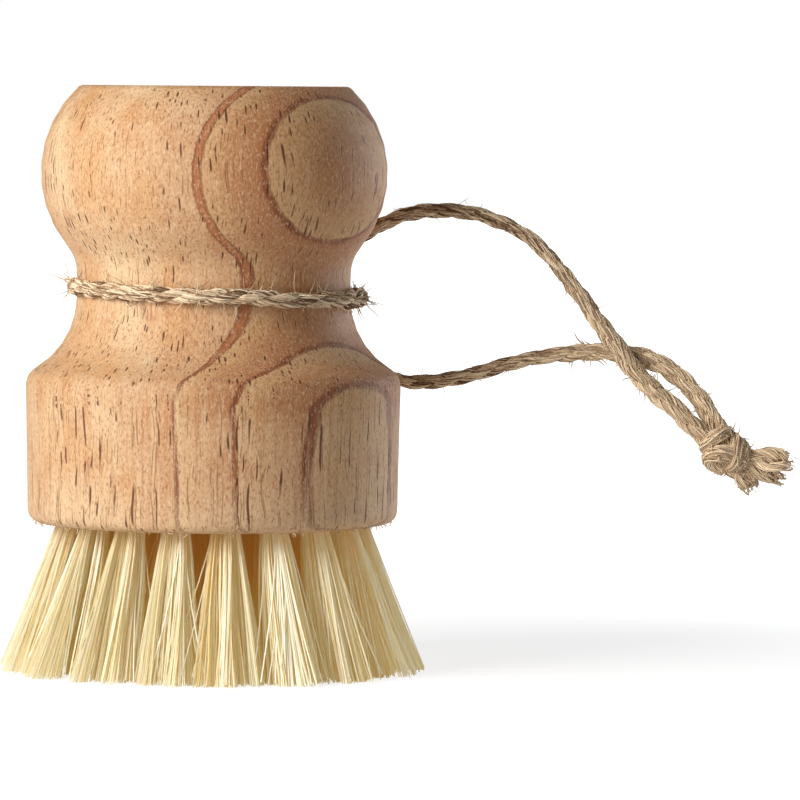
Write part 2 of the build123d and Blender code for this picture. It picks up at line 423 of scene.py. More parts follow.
def ring_depth(shade, place, height):
    """How far a point lies through the growth rings, counted from the handle's axis."""
    flat = shade.stretch(place, (1.0, 1.0, 0.0))
    pith = Vector((math.cos(ring_azimuth), math.sin(ring_azimuth), 0)) * -pith_distance
    reach = shade.add("ShaderNodeVectorMath", {0: flat, 1: pith}, "Value", operation="DISTANCE")
    depth = shade.minus(reach, pith_distance)

    # The rings bulge on the knob and dip at the shoulder. On the block they draw in, and flare furthest out
    rise = shade.minus(height, knob_middle)
    bulge = shade.plus(shade.times(rise, 0.054), shade.times(rise, rise, 0.0064), -0.45)
    bulge = shade.times(bulge, shade.fade(height, *knob_foot), shade.fade(depth, 16.0, 20.4))
    dip = shade.fade(shade.away(height, shoulder_middle), 3.8, 0.6, 0.0, -0.6)
    dip = shade.times(dip, shade.fade(depth, 10.0, 22.0))
    flare = shade.times(shade.fade(height, 38.0, 27.0, 0.0, 0.45), shade.fade(depth, 21.5, 24.0))
    inset = shade.times(shade.fade(height, 42.0, 37.0, 0.0, -0.3), shade.fade(depth, 17.0, 20.0))
    inset = shade.times(inset, shade.fade(depth, 24.0, 21.5))
    slow = shade.noise(place, (15.0, 15.0, 24.0), 1.0)
    wander = shade.times(shade.minus(slow, 0.5), shade.fade(depth, 20.0, 8.0, 0.4, 2.4))
    return shade.plus(depth, bulge, dip, flare, inset, wander)


def grain_spot(shade, place):
    """A point by how far round and how far out it lies, so that pores cut on a slope show as long dashes."""
    across, deep, height = shade.split(place)
    bearing = shade.compute("ARCTAN2", across, shade.times(deep, -1.0))
    reach = shade.compute("SQRT", shade.plus(shade.times(across, across), shade.times(deep, deep)))
    inputs = {0: shade.times(bearing, pore_round), 1: shade.times(reach, pore_slope), 2: height}
    turned = shade.add("ShaderNodeCombineXYZ", inputs)
    level = shade.largest(shade.fade(height, *crown_face), shade.fade(height, *foot_face))
    return shade.mix(level, turned, place)


def vessels(shade, place, spot, through, cell, radius, rarity, seed):
    """Long pores that wander through the wood and show as dashes where the surface cuts them."""
    height = shade.split(place)[2]
    moved = shade.move(spot, (seed, seed, 0.0))
    wobble = shade.noise(moved, (7.0, 7.0, 9.0), 1.0, output="Color")
    inputs = {"Vector": shade.move(moved, shade.stretch(wobble, (1.6, 1.6, 0.0))), "Scale": 1 / cell}
    near = shade.add("ShaderNodeTexVoronoi", inputs, voronoi_dimensions="2D").node
    chance, other, _ = shade.split(near.outputs["Color"])
    block = shade.fade(height, *block_top)
    pace = shade.plus(shade.times(block, -0.13), 0.30)
    along = shade.plus(shade.times(height, pace), shade.times(chance, 90.0))
    inputs = {"W": along, "Scale": 1.0, "Detail": 1.0}
    run = shade.add("ShaderNodeTexNoise", inputs, noise_dimensions="1D")
    crowd = shade.noise(place, (5.0, 5.0, 12.0), 1.0)
    likely = shade.plus(
        run,
        shade.fade(through, 0.0, 0.5, 0.09, 0.0),
        shade.times(shade.minus(crowd, 0.5), 0.55),
        shade.times(block, 0.03),
    )
    open_here = shade.fade(likely, rarity, rarity + 0.10)
    size = shade.times(shade.plus(shade.times(other, 0.8), 0.55), radius / cell)
    round_it = shade.fade(near.outputs["Distance"], shade.times(size, 1.3), shade.times(size, 0.5))
    return shade.times(round_it, open_here)


def growth_colour(shade, place, height, depth, behind, through):
    """The wood between its lines: even at first, and then from pale early wood to browner late wood."""
    stops = [
        (0.0, 228, 182, 130), (0.34, 218, 165, 114), (0.50, 205, 147, 100),
        (0.85, 199, 137, 91), (0.97, 187, 118, 74),
    ]
    grown = shade.ramp(through, stops)
    even = shade.ramp(
        shade.noise(place, (7.0, 7.0, 16.0)),
        [(0.32, 223, 168, 114), (0.50, 229, 185, 138), (0.68, 240, 204, 158)],
    )
    past = shade.largest(shade.fade(depth, 15.6, 16.2), shade.times(behind, 0.6))
    late = shade.times(shade.fade(depth, 9.0, 15.6, 0.0, 0.55), shade.fade(depth, 16.2, 15.6))
    paler = shade.times(shade.fade(height, 37.5, 33.0, 0.0, 0.52), past)
    return shade.cover(even, (late, tint(214, 156, 110)), (past, grown), (paler, tint(240, 198, 152)))


def lined_colour(shade, place, colour, gap, shown, bold):
    """The dense line that ends a ring: a bold band once, thin elsewhere, dark at its crisp edge."""
    half = shade.plus(shade.times(bold, bold_line - thin_line), thin_line)
    body = shade.fade(gap, shade.times(half, 1.3), shade.times(half, 0.6))
    edge = shade.fade(shade.away(gap, half), 0.20, 0.03)
    edge = shade.times(shade.largest(edge, shade.times(body, shade.minus(1.0, bold))), shown)
    uneven = shade.fade(shade.noise(place, (2.0, 2.0, 4.0)), 0.3, 0.7, 0.50, 0.95)
    return shade.cover(
        colour,
        (shade.times(body, shown, 0.80), tint(182, 102, 56)),
        (shade.times(edge, uneven), tint(132, 66, 34)),
    )


def sanded_colour(shade, place, colour, height, mottle, grain):
    """Long soft streaks, a mottle, a paler foot, and the fine grain of a sanded surface."""
    wall = shade.fade(height, 41.0, 37.0, 0.7, 2.1)
    streaks = shade.noise(place, (0.8, 0.8, 30.0), 3.0, 0.65)
    return shade.cover(
        colour,
        (shade.times(shade.fade(streaks, 0.50, 0.72, 0.0, 0.30), wall), tint(190, 128, 84)),
        (shade.times(shade.fade(streaks, 0.48, 0.28, 0.0, 0.30), wall), tint(243, 210, 164)),
        (shade.fade(mottle, 0.50, 0.75, 0.0, 0.42), tint(208, 142, 94)),
        (shade.fade(height, 28.0, 21.0, 0.0, 0.38), tint(238, 204, 162)),
        (shade.fade(grain, 0.51, 0.75, 0.0, 0.85), tint(160, 98, 56)),
        (shade.fade(grain, 0.49, 0.27, 0.0, 0.54), tint(252, 222, 180)),
    )


def raised_grain(shade, place, height, mottle, front):
    """Crumbs of grain where the turning cuts across it: by the shoulder, the crown and the foot."""
    band = shade.fade(shade.away(height, crumb_band), 4.5, 1.5)
    crown = shade.times(shade.fade(height, 74.5, 77.5), front)
    foot = shade.times(shade.fade(height, 25.0, 21.0), shade.fade(mottle, 0.45, 0.6))
    crumbs = shade.noise(place, (0.20, 0.20, 0.24), 1.0)
    return shade.times(shade.fade(crumbs, 0.62, 0.70), shade.largest(band, crown, foot))


def make_wood():
    """Bare open-grained hardwood."""
    shade = Shade(new_material("wood"))
    place = shade.place()
    _, deep, height = shade.split(place)
    fine = shade.noise(place, (0.35, 0.35, 0.8), 2.0, 0.6)
    depth = shade.plus(ring_depth(shade, place, height), shade.times(shade.minus(fine, 0.5), 0.20))

    # How far through its ring a point is, and how far from the nearest ring's line
    rings = shade.times(shade.minus(depth, ring_first), 1 / ring_spacing)
    through = shade.compute("FRACT", rings)
    nearest = shade.compute("ROUND", rings)
    gap = shade.times(shade.away(rings, nearest), ring_spacing)

    # The first line is bold above the shoulder. At the back fainter ones show, each by chance
    odd = shade.add("ShaderNodeTexWhiteNoise", {"W": nearest}, noise_dimensions="1D")
    first = shade.compute("COMPARE", nearest, 0.0, 0.5)
    bold = shade.times(first, shade.fade(height, *shoulder_top))
    front = shade.fade(depth, 11.5, 15.4)
    behind = shade.times(shade.fade(deep, 2.0, 9.0), shade.fade(odd, 0.2, 0.9, 0.25, 0.9))
    shown = shade.largest(shade.fade(depth, 15.2, 15.5), behind)

    mottle = shade.noise(place, (2.6, 2.6, 5.0), 3.0)
    grain = shade.noise(place, (0.27, 0.27, 0.6), 2.0, 0.75)
    crumbs = raised_grain(shade, place, height, mottle, front)
    spot = grain_spot(shade, place)
    large = vessels(shade, place, spot, through, cell=0.85, radius=0.125, rarity=0.49, seed=3.0)
    small = vessels(shade, place, spot, through, cell=0.45, radius=0.075, rarity=0.45, seed=41.0)

    colour = growth_colour(shade, place, height, depth, behind, through)
    colour = lined_colour(shade, place, colour, gap, shown, bold)
    colour = sanded_colour(shade, place, colour, height, mottle, grain)
    colour = shade.cover(
        colour,
        (shade.times(crumbs, 0.7), tint(250, 224, 190)),
        (shade.times(small, 0.62), tint(146, 92, 54)),
        (shade.times(large, 0.92), tint(104, 58, 30)),
    )
    colour = shade.mix(1.0, colour, tint(238, 240, 243), "MULTIPLY")
    relief = shade.plus(shade.times(grain, 0.35), shade.times(crumbs, 0.8), shade.times(large, -1.0))
    normal = shade.bump(relief, 0.12 * mm, 0.7)
    return shade.finish(Base_Color=colour, Normal=normal, Roughness=0.62, Specular_IOR_Level=0.3)


def make_crumb():
    """The pale raised fibres at the edge of the wood."""
    shade = Shade(new_material("wood_fibre"))
    tone = shade.noise(shade.place(), (0.6, 0.6, 0.6))
    colour = shade.ramp(tone, [(0.3, 214, 172, 130), (0.7, 244, 220, 190)])
    return shade.finish(Base_Color=colour, Normal=shade.bump(tone, 0.03 * mm, 0.5), Roughness=0.75)


def make_fibre():
    """Stiff pale plant fibre, letting some light through, with painted golden shade and glow deep in the
    tufts.
    """
    shade = Shade(new_material("bristle_fibre"))
    tone, rise, own, ring_share = shade.lay()
    stops = [(0.05, 246, 222, 158), (0.28, 254, 244, 208), (0.55, 255, 251, 232), (0.85, 255, 254, 242)]
    pale = shade.ramp(shade.plus(shade.times(tone, 0.35), shade.times(own, 0.65)), stops)
    # Painted shade: the inner tufts turn golden towards their roots, standing in for the shade and warm
    # bounced light between the fibres
    painted_deep_shade = shade.times(shade.fade(ring_share, 0.95, 0.60), shade.fade(rise, 0.25, 0.75, 0.0, 0.55))
    flecks = shade.noise(shade.place(), (0.4, 0.4, 3.0))
    colour = shade.cover(
        pale,
        # Painted shade: golden towards the roots, deep between the tufts
        (shade.fade(rise, 0.60, 1.05, 0.0, 0.30), tint(236, 192, 104)),
        (painted_deep_shade, tint(240, 186, 84)),
        (shade.fade(flecks, 0.50, 0.75, 0.0, 0.30), tint(242, 214, 142)),
    )
    shade.join(0.32, shade.add("ShaderNodeBsdfTranslucent", {"Color": colour}))
    # A faint golden emission paints glow into the fibres, lifting their shade as bounced light would
    return shade.finish(
        Base_Color=colour, Normal=shade.bump(flecks, 0.03 * mm, 0.4), Roughness=0.42,
        Specular_IOR_Level=0.9, Emission_Color=(1.0, 0.64, 0.14, 1.0), Emission_Strength=0.048,
    )


def make_twine(name, light, middle, dark):
    """Dry jute, with painted shade in the gaps between its strands, and bleached towards the loop's far end.
    """
    shade = Shade(new_material(name))
    tone, _, _, out = shade.lay()
    place = shade.place()
    patch = shade.noise(place, (0.5, 0.5, 0.5), 3.0, 0.6)
    value = shade.plus(shade.times(tone, 0.6), shade.times(patch, 0.4))
    colour = shade.cover(
        shade.ramp(value, [(0.28, *dark), (0.48, *middle), (0.70, *light)]),
        (shade.fade(shade.split(place)[0], 40.0, 62.0, 0.0, 0.5), tint(252, 226, 190)),
        # Painted shade: points that lie deep in the twine, such as the cores between the strands, are
        # darkened
        (shade.fade(out, 0.80, 0.35, 0.0, 0.70), tint(66, 42, 24)),
    )
    normal = shade.bump(shade.noise(place, (0.12, 0.12, 0.12)), 0.05 * mm, 0.6)
    return shade.finish(Base_Color=colour, Normal=normal, Roughness=0.85, Specular_IOR_Level=0.15)


def make_steel():
    """Bright drawn wire, finely scored."""
    shade = Shade(new_material("anchor_wire"))
    score = shade.noise(shade.place(), (0.1, 0.1, 0.1))
    colour = shade.ramp(score, [(0.3, 150, 150, 152), (0.7, 196, 197, 200)])
    normal = shade.bump(score, 0.02 * mm, 0.3)
    return shade.finish(Base_Color=colour, Normal=normal, Metallic=1.0, Roughness=0.35)


wood = make_wood()
crumb = make_crumb()
fibre = make_fibre()
twine = make_twine("twine", light=(250, 230, 198), middle=(210, 178, 144), dark=(118, 86, 62))
hair = make_twine("twine_hair", light=(240, 224, 192), middle=(214, 190, 150), dark=(166, 136, 100))
steel = make_steel()


# Lines and threads
def path_frames(points, facing=None):
    """The tangent and two steady normals at each point of a path."""
    frames = []
    last = len(points) - 1
    normal = facing or (points[1] - points[0]).orthogonal().normalized()
    for index in range(len(points)):
        tangent = (points[min(index + 1, last)] - points[max(index - 1, 0)]).normalized()
        normal = (normal - tangent * normal.dot(tangent)).normalized()
        frames.append((tangent, normal, tangent.cross(normal)))
    return frames


def resampled(points, step):
    """A path's points again, evenly spaced."""
    lengths = [0.0]
    for before, after in zip(points, points[1:]):
        lengths.append(lengths[-1] + (after - before).length)
    count = max(round(lengths[-1] / step), 2)
    spaced = []
    segment = 0
    for index in range(count + 1):
        want = lengths[-1] * index / count
        while segment < len(points) - 2 and lengths[segment + 1] < want:
            segment += 1
        share = (want - lengths[segment]) / (lengths[segment + 1] - lengths[segment])
        spaced.append(points[segment].lerp(points[segment + 1], share))
    return spaced


def smooth_line(points):
    """Points along the NURBS spline that a route's points control."""
    curve = bpy.data.curves.new("route", "CURVE")
    curve.dimensions = "3D"
    spline = curve.splines.new("NURBS")
    spline.points.add(len(points) - 1)
    for control, point in zip(spline.points, points):
        control.co = (*point, 1.0)
    spline.order_u = 3
    spline.use_endpoint_u = True
    spline.resolution_u = 16
    carrier = bpy.data.objects.new("route", curve)
    mesh = bpy.data.meshes.new_from_object(carrier)
    line = [vertex.co.copy() for vertex in mesh.vertices]
    bpy.data.meshes.remove(mesh)
    bpy.data.objects.remove(carrier)
    bpy.data.curves.remove(curve)
    return line


def direction(across, over, angle):
    """The direction at an angle from one axis towards another."""
    return across * math.cos(angle) + over * math.sin(angle)


def circle(centre, across, over, radius, sides):
    """A ring of points round a centre, in the plane of two axes."""
    angles = [full_turn * side / sides for side in range(sides)]
    return [centre + direction(across, over, angle) * radius for angle in angles]


def axes_at(azimuth):
    """The level directions outward and sideways at a place round the handle."""
    outward = Vector((math.cos(azimuth), math.sin(azimuth), 0))
    return outward, Vector((-outward.y, outward.x, 0))


def scattered(rng, outward, sideways):
    """A random level offset, of about one each way."""
    return outward * rng.gauss(0, 1) + sideways * rng.gauss(0, 1)


def hump(run, middle, width):
    """One at a middle, and fading to nothing on both sides of it."""
    return math.exp(-(((run - middle) / width) ** 2))


def curled(spot, heading, bend, length, steps):
    """The points of a loose fibre that bends the same way at every step."""
    path = [spot]
    for _ in range(steps):
        heading = (heading + bend).normalized()
        spot = spot + heading * length / steps
        path.append(spot)
    return path


def add_thread(skin, points, radius, sides, lay=(0.5, 0.5, 1.0), taper=0.5, facing=None):
    """Adds a thin fibre along a few points, tapering to its tip, with an edge turned the way it faces."""
    tone, own, out = lay
    rings = []
    lays = []
    last = len(points) - 1
    for index, (point, (_, normal, side)) in enumerate(zip(points, path_frames(points, facing))):
        run = index / last
        rings.append(circle(point, normal, side, radius * (1 - (1 - taper) * run**2), sides))
        lays.append([(tone, 1 - run, own, out)] * sides)
    skin.add_tube(rings, lays)


# Twine
def add_ply(skin, centres, radii, rng, wrap=strand_wrap, flare=0.0):
    """Adds one ply along a line: a core in painted shade, wrapped in loose strands, which may part towards
    the end.
    """
    frames = path_frames(centres)
    seed = rng.uniform(0, 100)
    rings = []
    core = centres[: round(len(centres) * 0.8)] if flare else centres
    for centre, (_, normal, side), radius in zip(core, frames, radii):
        rings.append(circle(centre, normal, side, core_share * radius, core_sides))
    skin.add_tube(rings, [[core_lay] * core_sides] * len(rings))
    count = round(full_turn * max(radii) / strand_gap)
    last = len(centres) - 1
    for strand in range(count):
        phase = full_turn * (strand + rng.random()) / count
        depth = rng.uniform(*strand_depths)
        tone = rng.random()
        path = []
        for index in range(0, last + 1, strand_stride):
            along = index * twine_step
            _, normal, side = frames[index]
            drift = 1.1 * noise.noise((along / strand_wander, 7 * phase, seed))
            heave = 0.16 * noise.noise((along / strand_heave, 9 * phase, seed))
            reach = radii[index] * depth * (1 + heave + flare * (index / last) ** 3)
            path.append(centres[index] + direction(normal, side, phase + wrap * along + drift) * reach)
        if flare:
            path = path[: max(round(len(path) * rng.uniform(0.78, 1.0)), 2)]
        radius = strand_radius * rng.uniform(0.6, 1.4)
        add_thread(skin, path, radius, strand_sides, (tone, tone, 0.62 + 0.38 * depth), 1.0)


def add_twine(skin, line, rng, thickness=1.0, swell=None):
    """Adds twine along a line: plies laid round each other, thicker where it swells."""
    points = resampled(line, twine_step)
    frames = path_frames(points)
    seed = rng.uniform(0, 100)
    last = len(points) - 1
    sizes = []
    for index in range(len(points)):
        slow = noise.noise((index * twine_step / twine_wander, seed, 3))
        sizes.append(thickness * (1 + 0.14 * slow) * (swell(index / last) if swell else 1))
    for ply in range(ply_count):
        centres = []
        for index, (point, (_, normal, side)) in enumerate(zip(points, frames)):
            along = index * twine_step
            drift = 0.6 * noise.noise((along / twine_wander, seed, 0))
            turn = ply_turn * along + full_turn * ply / ply_count + drift
            centres.append(point + direction(normal, side, turn) * ply_offset * sizes[index])
        add_ply(skin, centres, [ply_radius * size for size in sizes], rng)


def add_hairs(skin, line, rng, per_mm, longest, lift=1.0, crowd=None, curl=0.16, girth=1.0):
    """Adds loose fibres that leave the twine's surface and curl away, thicker set where they crowd."""
    points = resampled(line, twine_step)
    frames = path_frames(points)
    total = len(points) * twine_step
    for _ in range(int(per_mm * total / mm)):
        index = rng.randrange(len(points))
        if crowd and rng.random() > crowd(index / len(points)):
            continue
        tangent, normal, side = frames[index]
        out = direction(normal, side, rng.uniform(0, full_turn))
        length = longest * rng.uniform(0.25, 1.0) ** 1.5
        heading = tangent * rng.choice((-1, 1)) * rng.uniform(0.4, 1.2)
        heading += out * rng.uniform(0.1, 0.9) * lift
        heading += out.cross(tangent) * rng.uniform(-0.6, 0.6)
        heading.normalize()
        bend = Vector(rng.gauss(0, curl) for _ in range(3))
        spot = points[index] + out * twine_diameter * rng.uniform(0.30, 0.46)
        tone = rng.random()
        radius = girth * rng.uniform(*hair_radii) * mm
        path = curled(spot, heading, bend, length, hair_steps)
        add_thread(skin, path, radius, hair_sides, (tone, tone, 1.0))


def make_loop_strand(node, route, worn_share, seed):
    """One strand of the loop, riding on the cord's body, with one worn place."""
    rng = random.Random(seed)
    points = [neck_knot_middle + Vector(point) * mm for point in route]
    line = smooth_line(points)

    def swell(run):
        return 1 + 0.36 * min(max(run - 0.55, 0) / 0.2, 1)

    def frayed(run):
        return 0.15 + 0.85 * run**3

    def worn(run):
        return hump(run, worn_share, 0.03)

    skin = Skin()
    add_twine(skin, line, rng, 0.90, swell)
    strand = skin.make_piece(f"{node}_twine", "cord", twine, "twine", node)
    loose = Skin()
    add_hairs(loose, line, rng, per_mm=14.0, longest=2.6 * mm, lift=0.5, crowd=frayed, curl=0.22)
    add_hairs(loose, line, rng, per_mm=16.0, longest=2.8 * mm, lift=0.25, crowd=worn, girth=2.2)
    fuzz = loose.make_piece(f"{node}_twine_fuzz", "cord", hair, "twine")
    return line


upper_line = make_loop_strand("loop_upper", upper_route, worn_share=0.82, seed=3)
lower_line = make_loop_strand("loop_lower", lower_route, worn_share=0.65, seed=4)


def neck_line():
    """The line of the turn round the neck, open at the half knot and a little uneven."""
    radius = neck_radius + neck_turn_gap
    opening = math.atan(neck_knot_length / 2 / radius)
    start = neck_knot_azimuth + opening
    sweep = full_turn - 2 * opening
    points = []
    steps = 240
    for index in range(steps + 1):
        azimuth = start + sweep * index / steps
        out = radius + neck_turn_uneven * noise.noise((3 * math.cos(azimuth), 3 * math.sin(azimuth), 1))
        x = out * math.cos(azimuth) + neck_turn_slip
        lift = neck_turn_lift * noise.noise((2.2 * math.cos(azimuth), 2.2 * math.sin(azimuth), 7))
        points.append(Vector((x, out * math.sin(azimuth), turn_height - x * math.tan(turn_tilt) + lift)))
    return points


def make_neck_turn():
    """The turn round the neck, pressed on the wood and frayed most at the front right."""
    rng = random.Random(11)
    line = neck_line()

    def swell(run):
        return 1 + 0.36 * hump(run, neck_frayed_share, 0.05)

    def frayed(run):
        return 0.40 + 0.50 * hump(run, neck_frayed_share, 0.05)

    skin = Skin()
    add_twine(skin, line, rng, 1.0, swell)
    for point in skin.points:
        press = max(neck_radius / math.hypot(point.x, point.y), 1)
        point.x *= press
        point.y *= press
    skin.make_piece("neck_twine", "cord", twine, "twine", "neck_turn")
    loose = Skin()
    add_hairs(loose, line, rng, per_mm=14.0, longest=4.2 * mm, lift=0.14, crowd=frayed, curl=0.34, girth=1.3)
    loose.make_piece("neck_twine_fuzz", "cord", hair, "twine")
    return line


def make_half_knot(line):
    """The two ends of the turn twisted once round each other, on their way to the loop."""
    rng = random.Random(12)
    out, along = axes_at(neck_knot_azimuth)
    up = Vector((0, 0, 1))

    def spot(sideways, outward, upward):
        return neck_knot_middle + (along * sideways + out * outward + up * upward) * mm

    skin = Skin()
    loose = Skin()
    ends = [
        (line[4], (2.0, -0.6, 0.3), (0.7, 0.9, -0.9), (-1.3, 1.0, 0.2), upper_line),
        (line[-5], (-2.0, -0.6, -0.3), (-0.7, -0.2, 0.9), (1.3, 0.6, -0.5), lower_line),
    ]
    for start, *turns, strand in ends:
        route = smooth_line([start, *[spot(*turn) for turn in turns], strand[0], strand[6]])
        add_twine(skin, route, rng)
        add_hairs(loose, route, rng, per_mm=4.0, longest=2.4 * mm)
    skin.make_piece("half_knot_twine", "cord", twine, "twine", "neck_knot")
    loose.make_piece("half_knot_fuzz", "cord", hair, "twine")


make_half_knot(make_neck_turn())


def knot_spot(along, across, over):
    """A point by the end knot's own axes: along the loop, towards the front, and over to the upper right."""
    ahead = Vector((math.cos(end_knot_slope), 0, -math.sin(end_knot_slope)))
    front = Vector((0, -1, 0))
    return end_knot_middle + (ahead * along + front * across + front.cross(ahead) * over) * mm


def make_end_knot():
    """The overhand knot: both strands wrapped round their own run, and pulled tight."""
    rng = random.Random(31)
    skin = Skin()
    loose = Skin()
    for radius, turns in zip(knot_radii, knot_turns):
        route = resampled(smooth_line([knot_spot(*turn) for turn in turns]), twine_step)
        last = len(route) - 1
        radii = []
        for index in range(last + 1):
            slow = noise.noise((index * twine_step / knot_wander, radius, 5))
            radii.append(radius * mm * (1 + 0.16 * slow) * (1 - 0.3 * abs(2 * index / last - 1) ** 3))
        add_ply(skin, route, radii, rng, 0.25 * strand_wrap)
        add_hairs(loose, route, rng, per_mm=12.0, longest=1.7 * mm, lift=0.15, curl=0.35, girth=2.0)
    skin.make_piece("end_knot_twine", "cord", twine, "twine", "end_knot")
    loose.make_piece("end_knot_fuzz", "cord", hair, "twine")


def make_tail(node, slope, length, root_spread, tip_spread, locks, seed):
    """A frayed tail: curled locks of fibre that leave the knot together and part towards ragged ends."""
    rng = random.Random(seed)
    heading = Vector((math.cos(slope), -0.05, -math.sin(slope))).normalized()
    side = heading.cross(Vector((0, 1, 0))).normalized()
    depth = heading.cross(side)
    skin = Skin()
    loose = Skin()
    for lock in range(locks):
        bearing = full_turn * (lock + 0.7 * rng.random()) / locks
        share = 1.0 if lock % 3 else 0.45
        reach = length * rng.uniform(0.80, 1.0)
        curl = rng.uniform(4.5, 7.5) * rng.choice((-1, 1))
        lock_phase = rng.uniform(0, full_turn)
        path = []
        steps = 24
        for index in range(steps + 1):
            run = index / steps
            open_out = (root_spread + (tip_spread - root_spread) * run**1.2) * share * mm
            coil = lock_phase + curl * run
            swing = tail_lock_swing * min(3 * run, 1)
            across = math.cos(bearing) * open_out + math.cos(coil) * swing
            over = math.sin(bearing) * open_out + math.sin(coil) * swing
            ahead = tail_lock_start + (reach - tail_lock_start) * run
            path.append(end_knot_middle + heading * ahead + side * across + depth * over)
        route = resampled(path, twine_step)
        last = len(route) - 1
        thick = tail_lock_radius * rng.uniform(0.85, 1.2)
        radii = [thick * (1 - 0.35 * (index / last) ** 4) for index in range(last + 1)]
        add_ply(skin, route, radii, rng, flare=1.1)
        add_hairs(loose, route, rng, per_mm=2.5, longest=1.6 * mm, lift=0.6)
    loose.make_piece(f"{node}_fibres_fuzz", "cord", hair, "twine")
    skin.make_piece(f"{node}_fibres", "cord", twine, "twine", node)


make_end_knot()
for way, slope, length, root_spread, tip_spread, locks, seed in [
    ("right", 14.0, 9.4, 0.9, 1.8, 9, 41),
    ("down", 60.0, 6.7, 1.3, 0.15, 5, 42),
]:
    make_tail(f"tail_{way}", math.radians(slope), length * mm, root_spread, tip_spread, locks, seed)


# Bristles
def add_fibre(skin, rng, ring, outward, sideways, clump):
    """Adds one fibre of a tuft, from inside its hole to the level tips, near its clump's own line."""
    lean = math.tan(ring * ring_lean_step)
    ring_share = ring / len(ring_names)
    disc, clump_lean, clump_tone = clump
    stray = rng.random() < stray_share
    root = disc + scattered(rng, outward, sideways) * fibre_root_scatter
    if root.length > 1:
        root.normalize()
    jitter = clump_lean + scattered(rng, outward, sideways) * fibre_tip_scatter
    if stray:
        jitter += sideways * rng.choice((-1, 1)) * rng.uniform(0.4, 1) * stray_reach
    end = rng.random() ** 3 * fibre_ragged * (stray_ragged if stray else 1.0)
    phase = rng.uniform(0, full_turn)
    waves = rng.uniform(0.4, 1.2)
    amplitude = fibre_wave * rng.uniform(0.2, 1.5)
    start = outward * (ring * ring_pitch - fibre_root_depth * lean) + root * fibre_root_spread * 0.8
    start.z = block_foot + fibre_root_depth
    path = [start]
    drop = block_foot - end
    for index in range(fibre_steps + 1):
        run = index / fibre_steps
        bow = fibre_bow * ring_share * math.sin(math.pi * run)
        centre = outward * (ring * ring_pitch + drop * run * lean - bow)
        spread = fibre_root_spread + (fibre_tip_spread - fibre_root_spread) * run**0.85
        swing = amplitude * math.sin(phase + full_turn * waves * run) * run
        spot = centre + root * spread + jitter * run**1.4 + direction(outward, sideways, phase) * swing
        spot.z = block_foot - drop * run
        path.append(spot)
    own = 1.0 if stray else rng.random()
    radius = fibre_radius * rng.uniform(0.7, 1.3)
    out = root + outward * 0.5 + scattered(rng, outward, sideways) * fibre_turn
    out = Matrix.Rotation(fibre_face, 3, "Z") @ out
    add_thread(skin, path, radius, fibre_sides, (clump_tone, own, ring_share), fibre_taper, -out)


def ring_places():
    """The tufts' rings, with each hole's name and outward and sideways axes."""
    for ring in range(len(ring_names) + 1):
        count = max(ring * holes_per_ring_step, 1)
        for copy in range(count):
            name = f"{ring_names[ring - 1]}_{copy + 1}" if ring else "center"
            outward, sideways = axes_at(pattern_turn + full_turn * copy / count)
            yield ring, name, outward, sideways


def make_tufts():
    """Every tuft of fibres, each a piece that stands for its own node."""
    for ring, name, outward, sideways in ring_places():
        rng = random.Random(f"tuft {name}")
        skin = Skin()
        for _ in range(clump_count):
            share = math.sqrt(rng.random())
            disc = direction(outward, sideways, rng.uniform(0, full_turn)) * share
            clump = (disc, scattered(rng, outward, sideways) * clump_reach, rng.random())
            for _ in range(clump_fibres):
                add_fibre(skin, rng, ring, outward, sideways, clump)
        skin.make_piece(f"fibres_{name}", "brush", fibre, "bristle_fibre", f"tuft_{name}", smooth=False)


make_tufts()


# Handle
def cad_outline():
    """The handle's turned outline from foot to crown, as points of radius and height on its CAD node."""
    found = {}
    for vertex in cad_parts["handle"].data.vertices:
        radius = math.hypot(vertex.co.x, vertex.co.y)
        least = bore_field_radius if vertex.co.z < bore_reach else least_outline_radius
        if radius > least:
            level = round(vertex.co.z / mm, 2)
            found[level] = max(found.get(level, 0.0), radius)
    return [Vector((radius, level * mm)) for level, radius in sorted(found.items())]


def smooth_outline(points):
    """The outline again in short steps that follow its arcs, straight where it is straight."""
    ends = [Vector((0, points[0].y)), *points, Vector((0, points[-1].y))]
    ways = [(after - before).normalized() for before, after in zip(ends, ends[2:])]
    fine = []
    for before, after, way_in, way_out in zip(points, points[1:], ways, ways[1:]):
        length = (after - before).length
        count = math.ceil(length / turned_step)
        for step in range(count):
            run = step / count
            fine.append(
                before * (2 * run**3 - 3 * run**2 + 1)
                + way_in * length * (run**3 - 2 * run**2 + run)
                + after * (3 * run**2 - 2 * run**3)
                + way_out * length * (run**3 - run**2)
            )
    fine.append(points[-1])
    return fine


def turned_ring(radius, height):
    """A level ring of points round the handle's axis."""
    return circle(Vector((0, 0, height)), Vector((1, 0, 0)), Vector((0, 1, 0)), radius, turned_sides)


def add_holes(skin):
    """Adds the walls and bottoms of the drilled holes, and returns the rings of their mouths."""
    mouths = []
    for ring, _, outward, sideways in ring_places():
        lean = ring * ring_lean_step
        across = outward * math.cos(lean) + Vector((0, 0, math.sin(lean)))
        inward = outward * -math.sin(lean) + Vector((0, 0, math.cos(lean)))
        centre = outward * ring * ring_pitch + Vector((0, 0, block_foot))
        walls = circle(centre, across, sideways, hole_radius, hole_sides)
        mouth = skin.add_ring([point - inward * ((point.z - block_foot) / inward.z) for point in walls])
        bottom = skin.add_ring([point + inward * hole_depth for point in walls])
        skin.add_band(bottom, mouth)
        skin.faces.append(tuple(reversed(bottom)))
        mouths.append((centre, mouth))
    return mouths


